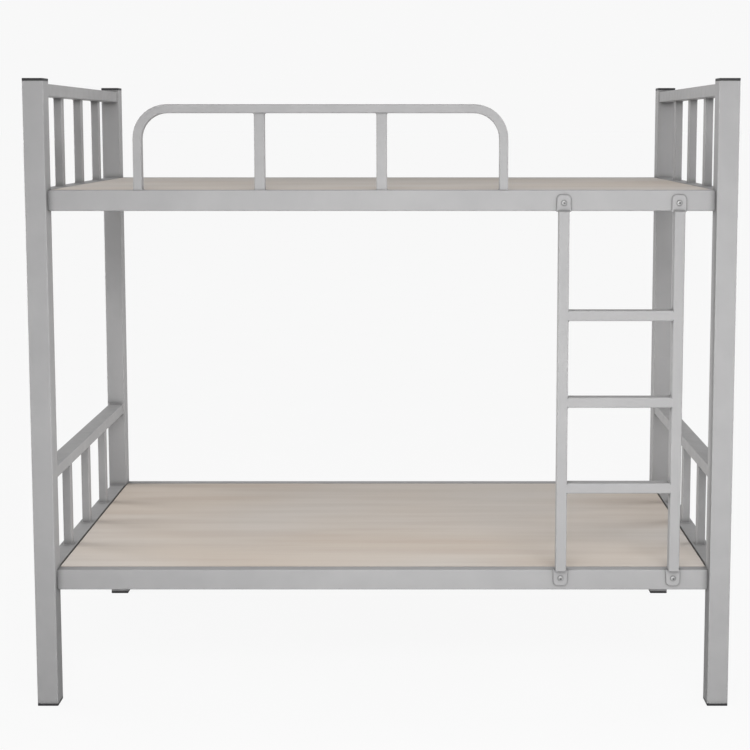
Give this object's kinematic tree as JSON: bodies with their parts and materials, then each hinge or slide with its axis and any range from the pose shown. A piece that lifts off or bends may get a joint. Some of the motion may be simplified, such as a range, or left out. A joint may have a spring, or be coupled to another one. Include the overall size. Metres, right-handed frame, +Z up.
{
  "type": "bunk bed with ladder",
  "caption": "Steel-tube bunk bed: two board decks between barred end panels, a bent guard rail on the upper front side and a ladder bolted to the front rails.",
  "frame": {"origin": "on the floor, under the middle of the bed", "axes": "+X along the bed towards the ladder's end, +Y across the bed from the ladder side to the back, +Z up"},
  "size_m": [2, 0.9, 1.809],
  "materials": {
    "frame_paint": "satin light grey powder coat",
    "cap_plastic": "matte black",
    "fastener_steel": "zinc plated",
    "board_wood": "pale brown-grey with fine grain along the bed"
  },
  "bodies": {
    "frame": {"post_front_left": "frame_paint", "post_front_right": "frame_paint", "post_back_left": "frame_paint", "post_back_right": "frame_paint", "top_cap_front_left": "cap_plastic", "top_cap_front_right": "cap_plastic", "top_cap_back_left": "cap_plastic", "top_cap_back_right": "cap_plastic", "foot_cap_front_left": "cap_plastic", "foot_cap_front_right": "cap_plastic", "foot_cap_back_left": "cap_plastic", "foot_cap_back_right": "cap_plastic", "lower_front_rail": "frame_paint", "lower_back_rail": "frame_paint", "upper_front_rail": "frame_paint", "upper_back_rail": "frame_paint", "lower_left_deck_rail": "frame_paint", "lower_left_head_rail": "frame_paint", "lower_right_deck_rail": "frame_paint", "lower_right_head_rail": "frame_paint", "upper_left_deck_rail": "frame_paint", "upper_left_head_rail": "frame_paint", "upper_right_deck_rail": "frame_paint", "upper_right_head_rail": "frame_paint", "lower_left_bar_1": "frame_paint", "lower_left_bar_2": "frame_paint", "lower_left_bar_3": "frame_paint", "lower_right_bar_1": "frame_paint", "lower_right_bar_2": "frame_paint", "lower_right_bar_3": "frame_paint", "upper_left_bar_1": "frame_paint", "upper_left_bar_2": "frame_paint", "upper_left_bar_3": "frame_paint", "upper_right_bar_1": "frame_paint", "upper_right_bar_2": "frame_paint", "upper_right_bar_3": "frame_paint", "guard_frame": "frame_paint", "guard_bar_1": "frame_paint", "guard_bar_2": "frame_paint", "ladder_stile_left": "frame_paint", "ladder_stile_right": "frame_paint", "ladder_rung_1": "frame_paint", "ladder_rung_2": "frame_paint", "ladder_rung_3": "frame_paint", "ladder_bolt_lower_left": "fastener_steel", "ladder_bolt_lower_right": "fastener_steel", "ladder_bolt_upper_left": "fastener_steel", "ladder_bolt_upper_right": "fastener_steel", "ladder_nut_lower_left": "fastener_steel", "ladder_nut_lower_right": "fastener_steel", "ladder_nut_upper_left": "fastener_steel", "ladder_nut_upper_right": "fastener_steel", "lower_slat_1": "frame_paint", "lower_slat_2": "frame_paint", "lower_slat_3": "frame_paint", "upper_slat_1": "frame_paint", "upper_slat_2": "frame_paint", "upper_slat_3": "frame_paint"},
    "lower_deck_board": {"lower_board": "board_wood"},
    "upper_deck_board": {"upper_board": "board_wood"}
  },
  "joints": [
    {"name": "lower_board_lift", "type": "slide", "parent": "frame", "child": "lower_deck_board", "axis": [0, 0, 1], "range_m": [0, 0.3]},
    {"name": "upper_board_lift", "type": "slide", "parent": "frame", "child": "upper_deck_board", "axis": [0, 0, 1], "range_m": [0, 0.3]}
  ]
}
